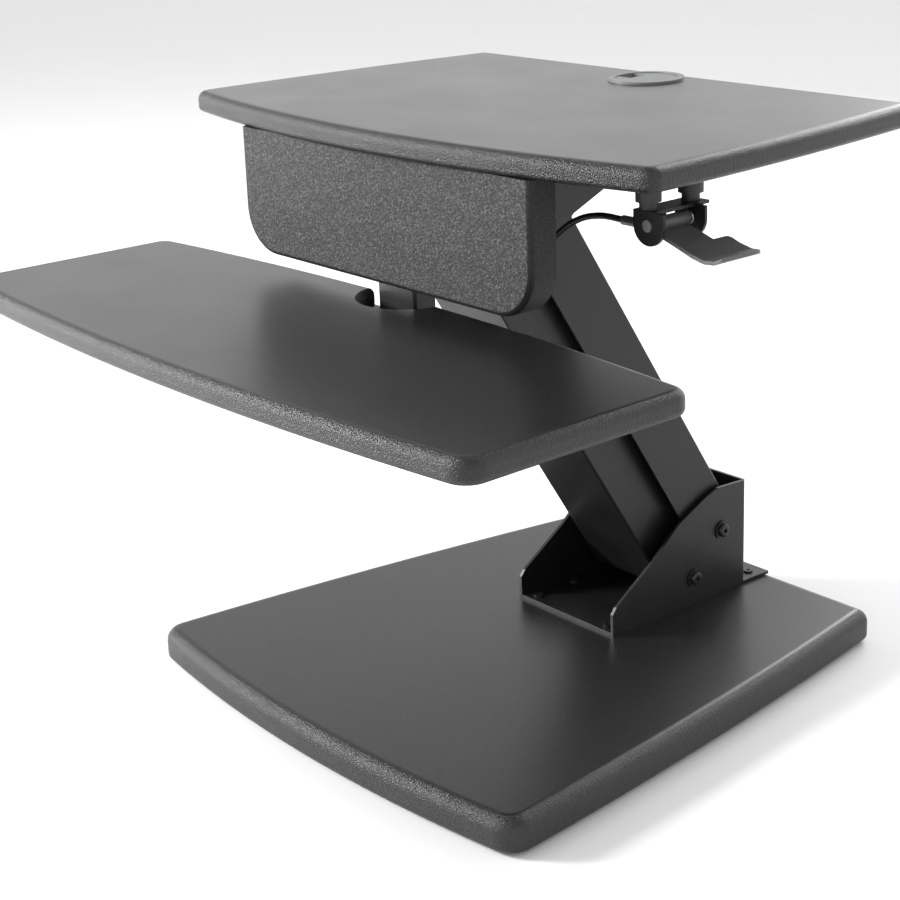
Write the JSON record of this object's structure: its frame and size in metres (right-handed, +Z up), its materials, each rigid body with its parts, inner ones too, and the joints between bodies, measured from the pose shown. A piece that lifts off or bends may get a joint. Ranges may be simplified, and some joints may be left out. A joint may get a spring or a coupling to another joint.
{
  "type": "standing desk converter",
  "caption": "Desktop sit-stand riser: bowed work deck and lower keyboard tray on a gas-sprung parallel-arm column over a flat base board.",
  "frame": {"origin": "centre of the footprint on the desk surface, with the deck raised", "axes": "+X across the deck to the user's right, +Y away from the user, +Z up"},
  "size_m": [0.6902, 0.6395, 0.5222],
  "materials": {
    "laminate": "black pebble-grain laminate with a low sheen",
    "powder_coat": "satin black powder coat",
    "panel_cover": "coarse speckled black cover",
    "rubber_pad": "soft black rubber",
    "black_screw": "black oxide steel",
    "bright_steel": "turned bright steel",
    "black_plastic": "moulded black nylon",
    "grey_plastic": "moulded dark grey plastic",
    "lever_metal": "dark grey coated steel",
    "zinc": "dull zinc plate",
    "cable_sheath": "smooth black cable sheath",
    "spring_paint": "black painted tube"
  },
  "bodies": {
    "base": {"base_board": "laminate", "base_feet": "rubber_pad", "base_bracket": "powder_coat", "base_screws": "black_screw", "base_low_axle": "bright_steel", "base_high_axle": "bright_steel", "base_pivot_washers": "black_screw", "base_pivot_bolts": "black_screw"},
    "front_arm": {"front_arm": "powder_coat", "front_arm_bushes": "black_plastic"},
    "rear_arm": {"rear_arm": "powder_coat", "rear_arm_bushes": "black_plastic"},
    "head": {"head_bracket": "powder_coat", "head_screws": "black_screw", "head_low_axle": "bright_steel", "head_high_axle": "bright_steel", "head_pivot_washers": "black_screw", "head_pivot_bolts": "black_screw", "deck_board": "laminate", "grommet_ring": "grey_plastic", "front_panel": "panel_cover", "panel_angles": "powder_coat", "tray_hanger": "powder_coat", "hanger_screws": "black_screw", "tray_plate": "powder_coat", "keyboard_tray": "laminate", "tray_screws": "black_screw", "lever_posts": "black_plastic", "lever_bracket": "powder_coat", "lever_pin": "bright_steel", "lever_screws": "black_screw", "cable_adjuster": "zinc", "release_cable": "cable_sheath", "cable_stop": "black_plastic"},
    "lever": {"release_lever": "lever_metal", "lever_spring": "bright_steel"},
    "grommet_cap": {"grommet_cap": "grey_plastic"},
    "spring_tube": {"gas_spring_tube": "spring_paint", "gas_spring_foot": "spring_paint", "gas_spring_gland": "bright_steel"},
    "spring_rod": {"gas_spring_rod": "bright_steel", "gas_spring_piston": "black_plastic", "gas_spring_head": "spring_paint"}
  },
  "joints": [
    {"name": "lift", "type": "hinge", "parent": "base", "child": "front_arm", "pos_m": [0, 0.206, 0.0587], "axis": [1, 0, 0], "range_deg": [0, 55]},
    {"name": "rear_arm_swing", "type": "hinge", "parent": "base", "child": "rear_arm", "pos_m": [0, 0.2434, 0.0965], "axis": [1, 0, 0], "range_deg": [-1, 56]},
    {"name": "head_level", "type": "hinge", "parent": "front_arm", "child": "head", "pos_m": [0, -0.00892, 0.39606], "axis": [1, 0, 0], "range_deg": [-56, 1]},
    {"name": "spring_tilt", "type": "hinge", "parent": "base", "child": "spring_tube", "pos_m": [0, 0.206, 0.0587], "axis": [1, 0, 0], "range_deg": [-1, 57]},
    {"name": "spring_stroke", "type": "slide", "parent": "spring_tube", "child": "spring_rod", "axis": [0, -0.4277, 0.9039], "range_m": [-0.05, 0.001]},
    {"name": "lever_lift", "type": "hinge", "parent": "head", "child": "lever", "pos_m": [0.232, 0, 0.461], "axis": [0, -1, 0], "range_deg": [0, 12], "stiffness_Nm_per_rad": 0.6, "springref_deg": -20.05},
    {"name": "grommet_turn", "type": "hinge", "parent": "head", "child": "grommet_cap", "pos_m": [0, 0.209, 0.52], "axis": [0, 0, 1], "continuous": true}
  ],
  "couplings": [
    {"joint": "rear_arm_swing", "follows": "lift", "ratio": 1},
    {"joint": "head_level", "follows": "lift", "ratio": -1},
    {"joint": "spring_tilt", "follows": "lift", "ratio": 1.0075},
    {"joint": "spring_stroke", "follows": "lift", "m_per_rad": -0.050658}
  ]
}
